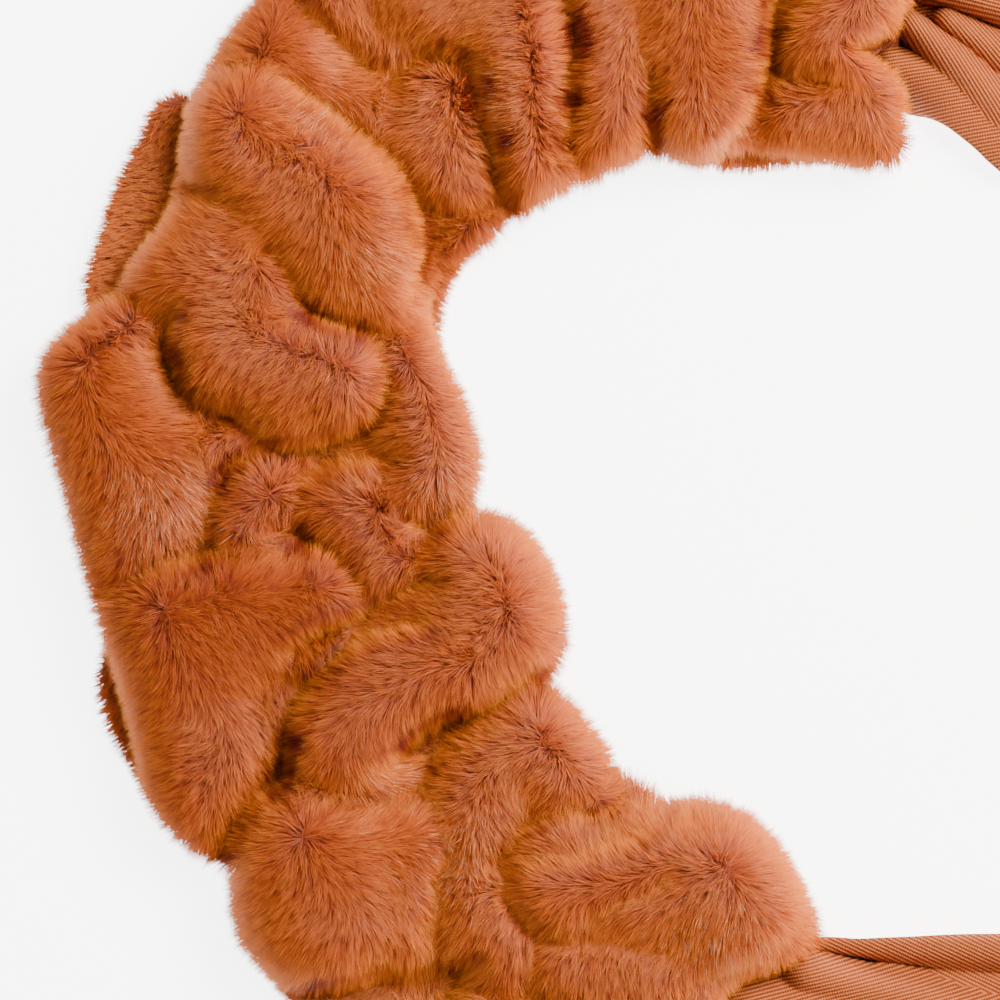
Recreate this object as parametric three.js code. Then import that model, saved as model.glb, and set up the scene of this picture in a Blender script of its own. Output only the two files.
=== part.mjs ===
// Fur collar wrap, laid flat in an open ring. Two panels of long pile fur make the band: a flat
// back panel, and a front panel gathered into overlapping folds. A wide tie of cotton twill is
// pleated into each end. Millimetres, +Z up, the table at z = 0. The solids reach to the fur's tips.
import * as THREE from 'three';

// Middle of the whole wrap in the layout plane, which becomes the origin
const ORIGIN_X = 330.94;
const ORIGIN_Y = 145.07;

// Back panel
const BACK_TOP = 12;
const BACK_EDGE_HEIGHT = 5;
const BACK_EDGE_REACH = 9;
const BACK_TUCK = 3;

// Front panel
const SEAM_GAP = 0.3;
const FRONT_FLOOR = BACK_TOP + SEAM_GAP;
const FRONT_RIM_HEIGHT = 6;
const FRONT_TUCK = 5;
const EDGE_REACH = 17;
const END_REACH = 12;
const VALLEY_HEIGHT = 23;
const ROUNDNESS = 2.4;
const FOLD_SPREAD = 1.08;
const FOLD_BLEND = 1.6;
const THINNEST_FUR = 2;

// Corner points of a panel's rolled-under rim, as shares of its tuck inwards and its height
const RIM_CORNERS = [
  { inwards: 0.1, up: 0.42 },
  { inwards: 0.45, up: 0.1 },
];

// Waves that shift the layout plane a little, so that no edge of a fold runs dead straight.
// Columns: size of the shift, radians of the wave per millimetre along x and along y, its phase.
const WAVES_IN_X = [
  [1.7, 0.13, 0.08, 1.3],
  [0.8, -0.12, 0.27, 0.4],
];
const WAVES_IN_Y = [
  [1.7, -0.09, 0.12, 2.1],
  [0.8, 0.25, 0.1, 4],
];

// Ties
const TIE_WALL = 2.4;
const PLEAT_BLEND = 1.2;
const PLEAT_ROUNDNESS = 0.7;
const TIE_SEAM_GAP = 0.6;
const SEAM_STRAIGHTEN = 34;

// Mesh fineness: how many rings and steps, and how far they crowd towards edges and seams
const FRONT_RINGS = 96;
const FRONT_STEPS = 21;
const BACK_RINGS = 62;
const BACK_STEPS = 9;
const UNDER_STEPS = 6;
const TIE_RINGS = 24;
const TIE_STEPS = 17;
const EDGE_CROWDING = 0.65;
const SEAM_CROWDING = 0.65;
const SEAM_CROWDING_POWER = 2.4;

// One row for each section across the band, from the upper right end round to the lower right one.
// Columns: inner edge x and y, outer edge x and y, set-back of the front panel at the inner and
// the outer edge, set-back of the back panel likewise, bow of the section line along the band.
const SECTIONS = [
  [283, 266, 301, 374, 1, 1, 3, 3, 0],
  [276, 265, 290, 379, 2, 1, 0, 3, 0],
  [262, 267, 270, 383, 2, 1, 0, 3, 0],
  [247, 265, 250, 385, 6, 1, 0, 3, 0],
  [236, 264, 232, 385, 8, 1, 0, 3, 0],
  [224, 266, 214, 384, 1, 1, 1, 3, 0],
  [210, 270, 193, 381, 1, 1, 3, 3, 0],
  [198, 266, 172, 376, 0, 1, 3, 3, 0],
  [183, 260, 150, 367, 0, 1, 2, 3, 0],
  [165, 250, 128, 356, 0, 0, 1, 3, 0],
  [156, 241, 108, 343, 1, 0, 0, 3, 0],
  [150, 236, 90, 330, 2, 0, 0, 3, 0],
  [145, 227, 74, 310, 7, 0, 0, 2, 0],
  [143, 220, 63, 292, 9, 0, 0, 0, 0],
  [142, 213, 49, 290, 8, 14, 0, 0, 0],
  [142, 207, 42, 276, 5, 19, 0, 0, 0],
  [142.5, 203, 35, 262, 2, 22, 0, 0, 0],
  [144, 198, 29, 244, 0, 16, 2, 0, 0],
  [146, 195, 24, 228, 0, 13, 2, 0, 0],
  [148, 191, 26, 220, 0, 3, 3, 1, 0],
  [150, 187, 14, 206, 0, 0, 3, 7, 0],
  [152, 181, 12, 193, 0, 0, 3, 8, 0],
  [154, 173, 17, 175, 0, 0, 3, 7, 0],
  [153, 165, 21, 160, 0, 0, 3, 6, 0],
  [151, 157, 27, 138, 0, 0, 3, 4, 0],
  [152, 154, 33, 117, 0, 0, 3, 1, 0],
  [159, 154, 30, 107, 0, 6, 3, 0, 0],
  [167, 151, 29, 98, 0, 10, 3, 0, 0],
  [173, 144, 32, 87, 0, 10, 4, 0, 0],
  [178, 135, 38, 76, 0, 7, 4, 0, 0],
  [181, 121, 45, 64, 0, 2, 4, 1, 0],
  [180, 111, 57, 52, 0, 0, 4, 3, 0],
  [174, 103, 74, 41, 0, 0, 2, 4, 0],
  [178, 100, 74, 33, 0, 0, 2, 4, 1],
  [187, 90, 77, 18, 0, 0, 2, 2, 2],
  [195, 79, 87, 3, 0, 3, 3, 0, 4],
  [197, 72, 102, -14, 0, 4, 3, 0, 6],
  [207, 69, 119, -30, 0, 3, 3, 0, 8],
  [216, 62, 135, -41, 0, 1, 3, 2, 10],
  [228, 64, 151, -49, 0, 0, 3, 3, 11],
  [240, 59, 166, -54, 0, 0, 3, 3, 12],
  [251, 48, 180, -57, 0, 0, 3, 3, 13],
  [259, 32, 193, -56, 0, 0, 3, 3, 13],
  [264, 20, 205, -50, 0, 0, 3, 3, 13],
];
const FRONT_SETBACK = 4;
const BACK_SETBACK = 6;
const BOW = 8;

// Folds of the front panel. Each row gives a fold's crest height, then two to four places along
// it: x, y and half width.
const FOLDS = [
  { name: 'upper left shoulder', top: 33, path: [[104, 348, 26], [90, 316, 26], [88, 300, 20]] },
  { name: 'shoulder tongue', top: 29, path: [[101, 302, 17], [114, 290, 16]] },
  { name: 'upper sash', top: 34, path: [[114, 356, 20], [130, 330, 19], [150, 317, 13]] },
  { name: 'sash tail', top: 36, path: [[158, 356, 22], [165, 318, 18], [170, 290, 15], [174, 262, 13]] },
  { name: 'sunk fold', top: 27, path: [[134, 296, 14], [142, 284, 17], [146, 264, 14]] },
  { name: 'inner corner', top: 25, path: [[152, 250, 10], [148, 238, 9]] },
  { name: 'big upper fold', top: 42, path: [[78, 276, 19], [92, 267, 20], [108, 248, 24]] },
  { name: 'big fold bridge', top: 38, path: [[80, 254, 17], [90, 240, 18]] },
  { name: 'big fold tip', top: 35, path: [[106, 240, 21], [118, 226, 14]] },
  { name: 'left middle fold', top: 36, path: [[60, 244, 22], [66, 232, 25], [76, 222, 20]] },
  { name: 'lower middle fold', top: 39, path: [[76, 208, 19], [95, 200, 19], [108, 198, 15]] },
  { name: 'left cheek', top: 32, path: [[33, 199, 24], [36, 178, 22], [46, 155, 22], [40, 130, 16]] },
  { name: 'cheek flank', top: 28, path: [[62, 176, 16], [56, 152, 14]] },
  { name: 'inner cheek', top: 32, path: [[134, 204, 15], [139, 186, 18], [142, 172, 14]] },
  { name: 'inner cheek foot', top: 30, path: [[136, 162, 14], [146, 158, 10]] },
  { name: 'inner cheek root', top: 25, path: [[118, 176, 12], [124, 164, 10]] },
  { name: 'tucked fold', top: 27, path: [[80, 171, 10], [98, 171, 9]] },
  { name: 'nest left', top: 31, path: [[84, 160, 16], [80, 146, 14]] },
  { name: 'nest right', top: 32, path: [[112, 153, 15], [122, 143, 15]] },
  { name: 'lower left crest', top: 36, path: [[58, 117, 24], [82, 124, 19], [104, 130, 13]] },
  { name: 'lower left body', top: 33, path: [[58, 100, 22], [66, 80, 20], [68, 64, 17]] },
  { name: 'lower left flank', top: 28, path: [[86, 96, 13], [84, 78, 11]] },
  { name: 'roll lip', top: 32, path: [[98, 112, 10], [118, 121, 9], [138, 128, 10]] },
  { name: 'long roll', top: 40, path: [[109, 86, 16], [123, 101, 18], [142, 114, 20], [157, 130, 24]] },
  { name: 'long roll foot', top: 35, path: [[112, 86, 18], [119, 78, 15]] },
  { name: 'inner lower fold', top: 33, path: [[162, 90, 16], [176, 80, 19], [184, 68, 15]] },
  { name: 'middle lower fold', top: 34, path: [[154, 74, 15], [152, 58, 17]] },
  { name: 'inner tuft', top: 29, path: [[203, 60, 13], [214, 56, 9]] },
  { name: 'bottom left fold', top: 39, path: [[102, 46, 27], [106, 28, 24]] },
  { name: 'bottom left side', top: 35, path: [[128, 48, 17], [126, 28, 18]] },
  { name: 'bottom middle fold', top: 34, path: [[150, 36, 17], [160, 20, 17]] },
  { name: 'last big fold', top: 42, path: [[180, 40, 16], [212, 38, 22], [238, 36, 26]] },
  { name: 'last fold foot', top: 36, path: [[184, 12, 18], [212, 6, 20], [238, 14, 18]] },
  { name: 'drop left', top: 35, path: [[188, 380, 17], [197, 340, 17], [197, 300, 14], [197, 274, 13]] },
  { name: 'drop head', top: 37, path: [[204, 340, 15], [212, 326, 15]] },
  { name: 'drop right', top: 39, path: [[222, 382, 21], [224, 335, 23], [226, 302, 19], [225, 284, 16]] },
  { name: 'end crest', top: 38, path: [[284, 376, 22], [276, 335, 21], [273, 314, 18], [260, 310, 13]] },
  { name: 'end inlet', top: 28, path: [[254, 376, 16], [250, 335, 12]] },
  { name: 'end flap', top: 30, path: [[256, 282, 17], [274, 283, 18]] },
  { name: 'under edge left', top: 26, path: [[96, -4, 12], [124, -16, 17], [145, -26, 17]] },
  { name: 'under edge middle', top: 32, path: [[160, -8, 14], [160, -32, 17]] },
  { name: 'under edge right', top: 34, path: [[186, -14, 16], [188, -38, 18]] },
  { name: 'under edge end', top: 29, path: [[214, -14, 14], [206, -36, 14]] },
];

// Deep hollows between the folds. Columns: x, y, reach, depth.
const HOLLOWS = [
  [138, 85, 8, 14],
  [131, 81, 6, 9],
  [147, 90, 5, 7],
  [95, 146, 8, 8],
  [90, 71, 6, 11],
  [95, 84, 4, 5],
  [137, 247, 9, 9],
  [143, 252, 5, 5],
  [118, 5, 10, 10],
  [140, 6, 9, 9],
  [104, 3, 7, 7],
  [150, 13, 4, 4],
  [184, 306, 5, 12],
  [182, 288, 4, 9],
  [247, 306, 5, 13],
  [250, 316, 6, 13],
  [242, 290, 4, 7],
  [51, 205, 8, 8],
  [98, 218, 5, 6],
  [114, 186, 5, 6],
  [160, 276, 4, 7],
  [156, 290, 4, 6],
  [139, 153, 5, 5],
  [184, 64, 6, 4],
  [78, 56, 6, 5],
  [210, 280, 3, 7],
  [104, 172, 4, 5],
];

// Each tie. Rows across it, columns: distance from the seam, y of the two edges. Pleats: places
// along each ridge with x, y, half width and height.
const TIES = [
  {
    name: 'tie_top',
    end: 'upper',
    seamX: 289,
    seamFrom: 0.17,
    seamTo: 0.8,
    rows: [
      [0, 284.5, 352],
      [12, 278, 358],
      [22, 271.5, 363],
      [32, 265.5, 366],
      [48, 260, 369],
      [75, 257, 370],
      [140, 256, 369],
      [361, 252, 364],
    ],
    pleats: [
      [[286, 300, 8, 13], [302, 293, 11, 13], [322, 275, 14, 9], [370, 268, 18, 3]],
      [[291, 313, 6, 19], [305, 301, 8, 17], [322, 285, 9, 13], [375, 292, 14, 4]],
      [[303, 314, 5, 15], [322, 302, 9, 13], [372, 318, 15, 4]],
      [[299, 324, 6, 19], [325, 318, 8, 15], [380, 338, 16, 4]],
      [[298, 338, 7, 18], [330, 338, 10, 13], [378, 356, 12, 3]],
    ],
  },
  {
    name: 'tie_bottom',
    end: 'lower',
    seamX: 248,
    seamFrom: 0.02,
    seamTo: 0.86,
    rows: [
      [0, 18.5, -42],
      [20, 18.8, -58],
      [42, 19.4, -72],
      [60, 20, -80],
      [85, 20, -86],
      [145, 19, -90],
      [398, 14, -94],
    ],
    pleats: [
      [[240, -4, 13, 17], [285, -6, 18, 15], [330, -22, 21, 9], [400, -30, 24, 3]],
      [[262, 15, 4, 8], [300, 13, 6, 9], [360, 8, 9, 5], [420, 5, 9, 2]],
      [[223, -22, 9, 16], [290, -40, 15, 13], [345, -56, 18, 7], [400, -62, 18, 2]],
      [[218, -36, 7, 14], [290, -66, 11, 11], [345, -78, 10, 5]],
    ],
  },
];

function clamp(value, low, high) {
  return Math.min(Math.max(value, low), high);
}

// Row of a table at a fractional place, by a cubic through the neighbouring rows
function rowAt(table, place) {
  const last = table.length - 1;
  const start = clamp(Math.floor(place), 0, last - 1);
  const t = clamp(place - start, 0, 1);
  const before = table[Math.max(start - 1, 0)];
  const from = table[start];
  const to = table[start + 1];
  const after = table[Math.min(start + 2, last)];
  const slack = 0.4;
  const h00 = 2 * t ** 3 - 3 * t ** 2 + 1;
  const h10 = t ** 3 - 2 * t ** 2 + t;
  const h01 = -2 * t ** 3 + 3 * t ** 2;
  const h11 = t ** 3 - t ** 2;
  return from.map((value, k) => {
    const slopeIn = slack * (to[k] - before[k]);
    const slopeOut = slack * (after[k] - value);
    return h00 * value + h10 * slopeIn + h01 * to[k] + h11 * slopeOut;
  });
}

// Section of the band at a fractional place: its width after the set-backs, and a function from
// the place across it to a point in the layout plane. A section line bows towards the upper end.
function bandSection(place, setbackColumn) {
  const row = rowAt(SECTIONS, place);
  const inner = new THREE.Vector2(row[0], row[1]);
  const outer = new THREE.Vector2(row[2], row[3]);
  const full = inner.distanceTo(outer);
  const across = outer.clone().sub(inner).normalize();
  const along = new THREE.Vector2(across.y, -across.x);
  const [first, last] = [row[setbackColumn] / full, 1 - row[setbackColumn + 1] / full];
  const pointAt = (v) => {
    const line = first + (last - first) * v;
    const point = inner.clone().lerp(outer, line);
    return point.addScaledVector(along, row[BOW] * 4 * line * (1 - line));
  };
  return { pointAt, width: full * (last - first) };
}

function waveSum(waves, x, y) {
  let sum = 0;
  for (const [size, alongX, alongY, phase] of waves) {
    sum += size * Math.sin(alongX * x + alongY * y + phase);
  }
  return sum;
}

function wander(x, y) {
  return { x: x + waveSum(WAVES_IN_X, x, y), y: y + waveSum(WAVES_IN_Y, x, y) };
}

// How far a point lies from a path, as a share of the path's half width there. The last value
// comes back too, which is the height along a pleat.
function shareFromPath(x, y, path) {
  let best = { share: Infinity, height: 0 };
  for (let i = 0; i + 1 < path.length; i += 1) {
    const [ax, ay, aw, ah] = path[i];
    const [bx, by, bw, bh] = path[i + 1];
    const dx = bx - ax;
    const dy = by - ay;
    const t = clamp(((x - ax) * dx + (y - ay) * dy) / (dx * dx + dy * dy), 0, 1);
    const away = Math.hypot(x - ax - dx * t, y - ay - dy * t);
    const share = away / (aw + (bw - aw) * t);
    if (share < best.share) {
      best = { share, height: ah + (bh - ah) * t };
    }
  }
  return best;
}

function dome(share) {
  return Math.max(0, 1 - share ** ROUNDNESS) ** (1 / ROUNDNESS);
}

// Height of the folded front panel: the soft highest of all folds, less the hollows
function foldHeight(px, py) {
  const { x, y } = wander(px, py);
  let total = Math.exp(VALLEY_HEIGHT / FOLD_BLEND);
  for (const fold of FOLDS) {
    const share = shareFromPath(x, y, fold.path).share / FOLD_SPREAD;
    const height = BACK_TOP + (fold.top - BACK_TOP) * dome(share);
    total += Math.exp(height / FOLD_BLEND);
  }
  let height = FOLD_BLEND * Math.log(total);
  for (const [hx, hy, reach, depth] of HOLLOWS) {
    height -= depth * Math.exp(-((x - hx) ** 2 + (y - hy) ** 2) / reach ** 2);
  }
  return Math.max(height, FRONT_FLOOR + THINNEST_FUR);
}

function edgeRise(distance, reach) {
  return dome(1 - clamp(distance / reach, 0, 1));
}

// Places across a panel, closer together near its edges
function crossPlaces(steps) {
  const places = [];
  for (let i = 0; i <= steps; i += 1) {
    const even = i / steps;
    const crowded = 0.5 - 0.5 * Math.cos(Math.PI * even);
    places.push(even + (crowded - even) * EDGE_CROWDING);
  }
  return places;
}

// Closed skin through rings of equal count. A ring is a list of { point, across }: first its top
// points from one edge to the other, then those underneath on the way back. Each end is closed
// by a strip between its top and underneath points, taken in the order of their place across.
function skinThrough(rings, topCount) {
  const count = rings[0].length;
  const positions = [];
  for (const ring of rings) {
    for (const { point } of ring) {
      positions.push(point.x - ORIGIN_X, point.y - ORIGIN_Y, point.z);
    }
  }
  const index = [];
  for (let i = 0; i + 1 < rings.length; i += 1) {
    for (let j = 0; j < count; j += 1) {
      const a = i * count + j;
      const b = i * count + ((j + 1) % count);
      const c = a + count;
      const d = b + count;
      index.push(a, b, c, b, d, c);
    }
  }
  const closeEnd = (ring, offset, flip) => {
    let top = 0;
    let under = count - 1;
    while (top + 1 < topCount || under > topCount) {
      const topFirst = under === topCount || ring[top + 1]?.across <= ring[under - 1].across;
      const turn = top + 1 < topCount && topFirst;
      const face = turn ? [top, top + 1, under] : [under - 1, under, top];
      if (turn) {
        top += 1;
      } else {
        under -= 1;
      }
      const order = flip ? face.reverse() : face;
      index.push(...order.map((place) => place + offset));
    }
  };
  closeEnd(rings[0], 0, true);
  closeEnd(rings[rings.length - 1], (rings.length - 1) * count, false);
  const geometry = new THREE.BufferGeometry();
  geometry.setAttribute('position', new THREE.Float32BufferAttribute(positions, 3));
  geometry.setIndex(index);
  geometry.computeVertexNormals();
  return geometry;
}

// Turns a geometry's faces outward if its signed volume came out negative
function facingOut(geometry) {
  const position = geometry.attributes.position;
  const index = geometry.index.array;
  const a = new THREE.Vector3();
  const b = new THREE.Vector3();
  const c = new THREE.Vector3();
  let volume = 0;
  for (let i = 0; i < index.length; i += 3) {
    a.fromBufferAttribute(position, index[i]);
    b.fromBufferAttribute(position, index[i + 1]);
    c.fromBufferAttribute(position, index[i + 2]);
    volume += a.dot(b.cross(c));
  }
  if (volume < 0) {
    for (let i = 0; i < index.length; i += 3) {
      [index[i + 1], index[i + 2]] = [index[i + 2], index[i + 1]];
    }
    geometry.computeVertexNormals();
  }
  return geometry;
}

// Ring of a panel: the top from inner to outer edge, the rounded outer rim, the flat underside
// back to the inner edge and the rounded inner rim
function panelRing(section, places, heightAt, floor, rim) {
  const tuck = rim.tuck / section.width;
  const top = places.map((v) => [v, heightAt(section.pointAt(v), v)]);
  const innerRim = RIM_CORNERS.map(({ inwards, up }) => [inwards * tuck, floor + up * rim.height]);
  const outerRim = innerRim.map(([v, z]) => [1 - v, z]);
  const under = [];
  for (let i = 0; i <= UNDER_STEPS; i += 1) {
    under.push([1 - tuck - (1 - 2 * tuck) * (i / UNDER_STEPS), floor]);
  }
  return [...top, ...outerRim, ...under, ...innerRim.reverse()].map(([v, z]) => {
    const { x, y } = section.pointAt(v);
    return { point: new THREE.Vector3(x, y, z), across: v };
  });
}

// Sections of a panel with the distance of each along the band's middle line
function panelSections(rings, setbackColumn) {
  const sections = [];
  let run = 0;
  let previous = null;
  for (let i = 0; i <= rings; i += 1) {
    const place = (i / rings) * (SECTIONS.length - 1);
    const section = bandSection(place, setbackColumn);
    const middle = section.pointAt(0.5);
    run += previous === null ? 0 : middle.distanceTo(previous);
    previous = middle;
    sections.push({ ...section, run });
  }
  return sections;
}

function frontPanel() {
  const sections = panelSections(FRONT_RINGS, FRONT_SETBACK);
  const total = sections[sections.length - 1].run;
  const places = crossPlaces(FRONT_STEPS);
  const rim = { height: FRONT_RIM_HEIGHT, tuck: FRONT_TUCK };
  const rimTop = FRONT_FLOOR + rim.height;
  const rings = sections.map((section) => {
    const endRise = edgeRise(Math.min(section.run, total - section.run), END_REACH);
    const heightAt = (point, v) => {
      const rise = edgeRise(Math.min(v, 1 - v) * section.width, EDGE_REACH) * endRise;
      return rimTop + (foldHeight(point.x, point.y) - rimTop) * rise;
    };
    return panelRing(section, places, heightAt, FRONT_FLOOR, rim);
  });
  return facingOut(skinThrough(rings, places.length));
}

function backPanel() {
  const rim = { height: BACK_EDGE_HEIGHT, tuck: BACK_TUCK };
  const sections = panelSections(BACK_RINGS, BACK_SETBACK);
  const places = crossPlaces(BACK_STEPS);
  const rings = sections.map((section) => {
    const heightAt = (point, v) => {
      const rise = edgeRise(Math.min(v, 1 - v) * section.width, BACK_EDGE_REACH);
      return rim.height + (BACK_TOP - rim.height) * rise;
    };
    return panelRing(section, places, heightAt, 0, rim);
  });
  return facingOut(skinThrough(rings, places.length));
}

// Point beside a section line, square to it at a place across, by a signed distance
function clearOf(section, place, distance) {
  const step = 0.01;
  const run = section.pointAt(place + step).sub(section.pointAt(place - step)).normalize();
  return section.pointAt(place).add(new THREE.Vector2(run.y, -run.x).multiplyScalar(distance));
}

// Middle surface of a tie: rows from the seam to the free end, each with points across it
function tieMiddle(tie) {
  const sectionPlace = tie.end === 'upper' ? 0 : SECTIONS.length - 1;
  const seam = bandSection(sectionPlace, FRONT_SETBACK);
  const outward = tie.end === 'upper' ? 1 : -1;
  const length = tie.rows[tie.rows.length - 1][0];
  const rows = [];
  for (let i = 0; i <= TIE_RINGS; i += 1) {
    const even = i / TIE_RINGS;
    const run = length * (even + (even ** SEAM_CROWDING_POWER - even) * SEAM_CROWDING);
    let place = 0;
    while (place + 2 < tie.rows.length && tie.rows[place + 1][0] < run) {
      place += 1;
    }
    const [from, to] = [tie.rows[place][0], tie.rows[place + 1][0]];
    const edges = rowAt(tie.rows, place + (run - from) / (to - from));
    const straight = THREE.MathUtils.smoothstep(run, 0, SEAM_STRAIGHTEN);
    const row = [];
    for (let j = 0; j <= TIE_STEPS; j += 1) {
      const q = j / TIE_STEPS;
      const seamPlace = tie.seamFrom + (tie.seamTo - tie.seamFrom) * q;
      const seamPoint = clearOf(seam, seamPlace, outward * TIE_SEAM_GAP);
      seamPoint.x += run;
      const flat = new THREE.Vector2(tie.seamX + run, edges[1] + (edges[2] - edges[1]) * q);
      const { x, y } = seamPoint.lerp(flat, straight);
      row.push(new THREE.Vector3(x, y, TIE_WALL / 2 + pleatHeight(x, y, tie.pleats)));
    }
    rows.push(row);
  }
  return rows;
}

function pleatHeight(x, y, pleats) {
  let total = 1;
  for (const path of pleats) {
    const { share, height } = shareFromPath(x, y, path);
    const rise = height * Math.max(0, 1 - share * share) ** PLEAT_ROUNDNESS;
    total += Math.exp(rise / PLEAT_BLEND) - 1;
  }
  return PLEAT_BLEND * Math.log(total);
}

// Wall of even thickness on both sides of a middle surface
function wallOn(rows) {
  const rings = rows.map((row, i) => {
    const before = rows[Math.max(i - 1, 0)];
    const after = rows[Math.min(i + 1, rows.length - 1)];
    const offsets = row.map((point, j) => {
      const left = row[Math.max(j - 1, 0)];
      const right = row[Math.min(j + 1, row.length - 1)];
      const down = after[j].clone().sub(before[j]);
      const normal = right.clone().sub(left).cross(down).normalize();
      return normal.multiplyScalar(Math.sign(normal.z) * (TIE_WALL / 2));
    });
    if (i === 0) {
      offsets.forEach((offset) => offset.set(0, 0, TIE_WALL / 2));
    }
    const upper = row.map((point, j) => ({ point: point.clone().add(offsets[j]), across: j }));
    const lower = row.map((point, j) => ({ point: point.clone().sub(offsets[j]), across: j }));
    return [...upper, ...lower.reverse()];
  });
  return facingOut(skinThrough(rings, TIE_STEPS + 1));
}

const furMaterial = new THREE.MeshStandardMaterial({ color: 0xc8682f, roughness: 0.85, metalness: 0 });
const underMaterial = new THREE.MeshStandardMaterial({ color: 0xb85d2a, roughness: 0.88, metalness: 0 });
const twillMaterial = new THREE.MeshStandardMaterial({ color: 0xc0714f, roughness: 0.8, metalness: 0 });

const group = new THREE.Group();

const front = new THREE.Mesh(frontPanel(), furMaterial);
front.name = 'fur_front';
group.add(front);

const back = new THREE.Mesh(backPanel(), underMaterial);
back.name = 'fur_back';
group.add(back);

for (const tie of TIES) {
  const mesh = new THREE.Mesh(wallOn(tieMiddle(tie)), twillMaterial);
  mesh.name = tie.name;
  group.add(mesh);
}

export default group;
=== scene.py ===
import math

import bpy
import numpy as np
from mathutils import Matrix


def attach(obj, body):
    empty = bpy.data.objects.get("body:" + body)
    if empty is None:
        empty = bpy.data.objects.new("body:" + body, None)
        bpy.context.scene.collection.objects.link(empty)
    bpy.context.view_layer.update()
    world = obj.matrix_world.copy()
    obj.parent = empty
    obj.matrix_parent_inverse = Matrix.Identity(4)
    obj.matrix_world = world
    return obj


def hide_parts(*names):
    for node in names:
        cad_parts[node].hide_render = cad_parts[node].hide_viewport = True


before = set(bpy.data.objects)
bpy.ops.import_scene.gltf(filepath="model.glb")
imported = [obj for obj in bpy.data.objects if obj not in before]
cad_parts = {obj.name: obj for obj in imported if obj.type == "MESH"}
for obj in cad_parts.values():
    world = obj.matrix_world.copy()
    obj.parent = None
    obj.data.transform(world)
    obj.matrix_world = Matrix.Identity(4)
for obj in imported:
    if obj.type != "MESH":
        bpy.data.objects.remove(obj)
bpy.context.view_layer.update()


# Front panel of the band: one long strip of fur cloth, gathered along both edges.
# A knitted backing about 1.5 mm thick that falls into overlapping folds over the back panel.
# Given in millimetres: sections across the band, its folds, hollows and creases.

MM = 0.001
ORIGIN_X = 330.94
ORIGIN_Y = 145.07
FRONT_RINGS = 250
FRONT_STEPS = 46

# Heights above the table: top of the back panel, underside of the front one, its rim, the lowest
# place in a fold and the common level of the valleys. Then how deep the backing lies in the pile,
# how far it keeps from the pile's outline, and its own thickness.
BACK_TOP = 12
FRONT_FLOOR = 12.3
FRONT_RIM = FRONT_FLOOR + 1.8
LOWEST_FOLD = FRONT_FLOOR + 1
VALLEY_HEIGHT = 26
PILE_DEPTH = 5
EDGE_INSET = 4
BACKING = 1.5

# Form of the folds: power of the dome, how many times as wide they are, millimetres over which
# they blend, and how much wider a crease is on its lower fold. Then how far in from the edges and
# ends they roll down and the waves of an end reach, and what the ends lose of a section.
ROUNDNESS = 2.4
FOLD_SPREAD = 1.2
FOLD_BLEND = 1.6
EASE_WIDTH = 3.2
EDGE_REACH = 17
END_REACH = 12
END_WAVE_REACH = 14
END_TRIM = 0.35
EDGE_CROWDING = 0.65

# Inner edge x and y, outer edge x and y, set-back of the front panel at the inner and the outer
# edge, set-back of the back panel likewise, bow of the section line along the band.
SECTIONS = np.array([
    [283, 266, 301, 374, 1, 1, 3, 3, 0],
    [276, 265, 290, 379, 2, 1, 0, 3, 0],
    [262, 267, 270, 383, 2, 1, 0, 3, 0],
    [247, 265, 250, 385, 6, 1, 0, 3, 0],
    [236, 264, 232, 385, 8, 1, 0, 3, 0],
    [224, 266, 214, 384, 1, 1, 1, 3, 0],
    [210, 270, 193, 381, 1, 1, 3, 3, 0],
    [198, 266, 172, 376, 0, 1, 3, 3, 0],
    [183, 260, 150, 367, 0, 1, 2, 3, 0],
    [165, 250, 128, 356, 0, 0, 1, 3, 0],
    [156, 241, 108, 343, 1, 0, 0, 3, 0],
    [150, 236, 90, 330, 2, 0, 0, 3, 0],
    [145, 227, 74, 310, 7, 0, 0, 2, 0],
    [143, 220, 63, 292, 9, 0, 0, 0, 0],
    [142, 213, 49, 290, 8, 14, 0, 0, 0],
    [142, 207, 42, 276, 5, 19, 0, 0, 0],
    [142.5, 203, 35, 262, 2, 22, 0, 0, 0],
    [144, 198, 29, 244, 0, 16, 2, 0, 0],
    [146, 195, 24, 228, 0, 13, 2, 0, 0],
    [148, 191, 26, 220, 0, 3, 3, 1, 0],
    [150, 187, 14, 206, 0, 0, 3, 7, 0],
    [152, 181, 12, 193, 0, 0, 3, 8, 0],
    [154, 173, 17, 175, 0, 0, 3, 7, 0],
    [153, 165, 21, 160, 0, 0, 3, 6, 0],
    [151, 157, 27, 138, 0, 0, 3, 4, 0],
    [152, 154, 33, 117, 0, 0, 3, 1, 0],
    [159, 154, 30, 107, 0, 6, 3, 0, 0],
    [167, 151, 29, 98, 0, 10, 3, 0, 0],
    [173, 144, 32, 87, 0, 10, 4, 0, 0],
    [178, 135, 38, 76, 0, 7, 4, 0, 0],
    [181, 121, 45, 64, 0, 2, 4, 1, 0],
    [180, 111, 57, 52, 0, 0, 4, 3, 0],
    [174, 103, 74, 41, 0, 0, 2, 4, 0],
    [178, 100, 74, 33, 0, 0, 2, 4, 1],
    [187, 90, 77, 18, 0, 0, 2, 2, 2],
    [195, 79, 87, 3, 0, 3, 3, 0, 4],
    [197, 72, 102, -14, 0, 4, 3, 0, 6],
    [207, 69, 119, -30, 0, 3, 3, 0, 8],
    [216, 62, 135, -41, 0, 1, 3, 2, 10],
    [228, 64, 151, -49, 0, 0, 3, 3, 11],
    [240, 59, 166, -54, 0, 0, 3, 3, 12],
    [251, 48, 180, -57, 0, 0, 3, 3, 13],
    [259, 32, 193, -56, 0, 0, 3, 3, 13],
    [264, 20, 205, -50, 0, 0, 3, 3, 13],
])
FRONT_SETBACK = 4
BACK_SETBACK = 6
BOW = 8

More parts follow.
